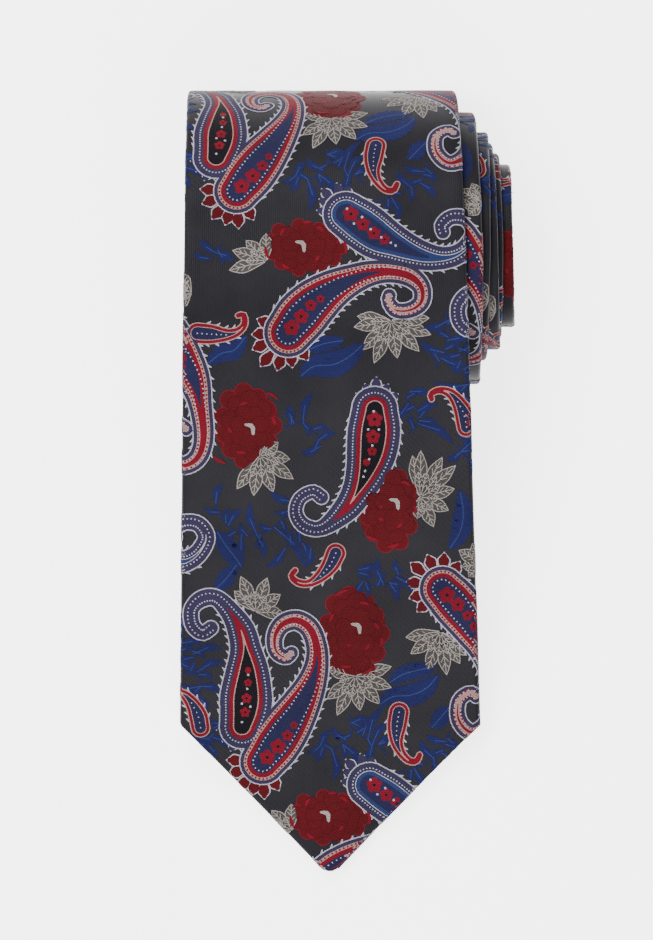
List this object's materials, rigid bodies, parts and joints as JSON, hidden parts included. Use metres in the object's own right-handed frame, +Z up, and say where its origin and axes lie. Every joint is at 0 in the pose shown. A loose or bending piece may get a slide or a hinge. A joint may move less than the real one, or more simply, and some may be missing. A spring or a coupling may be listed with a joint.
{
  "type": "necktie",
  "caption": "Paisley jacquard necktie coiled loosely from its narrow end, with the pointed front of the blade laid out over the coil and free to lift.",
  "frame": {"origin": "on the flat underside of the coil, straight below the fold line on its crest", "axes": "+Z up from the surface it rests on, +Y from the tip of the blade towards the far fold, +X towards the stepped edges of the inner turns"},
  "size_m": [0.1064, 0.249, 0.057],
  "materials": {
    "jacquard_silk": "satin-ground silk jacquard with paisley figure in red, blue, navy, silver and white",
    "wool_interlining": "brushed wool canvas",
    "acetate_lining": "smooth twill lining",
    "label_satin": "plain woven satin, blank",
    "silk_thread": "twisted sewing thread"
  },
  "bodies": {
    "roll": {"blade_shell_rolled": "jacquard_silk", "neck_shell": "jacquard_silk", "tail_shell": "jacquard_silk", "interlining_rolled": "wool_interlining", "tail_tipping": "acetate_lining", "tail_bar_tack": "silk_thread", "slip_stitch_rolled": "silk_thread", "blade_neck_seam": "silk_thread", "neck_tail_seam": "silk_thread"},
    "blade_front": {"blade_shell_front": "jacquard_silk", "interlining_front": "wool_interlining", "blade_tipping": "acetate_lining", "keeper_loop": "jacquard_silk", "keeper_stitch_left": "silk_thread", "keeper_stitch_right": "silk_thread", "maker_label": "label_satin", "label_stitch_left": "silk_thread", "label_stitch_right": "silk_thread", "blade_bar_tack": "silk_thread", "slip_stitch_front": "silk_thread"}
  },
  "joints": [
    {"name": "blade_lift", "type": "hinge", "parent": "roll", "child": "blade_front", "pos_m": [0, 0, 0.057], "axis": [-1, 0, 0], "range_deg": [0, 150]}
  ]
}
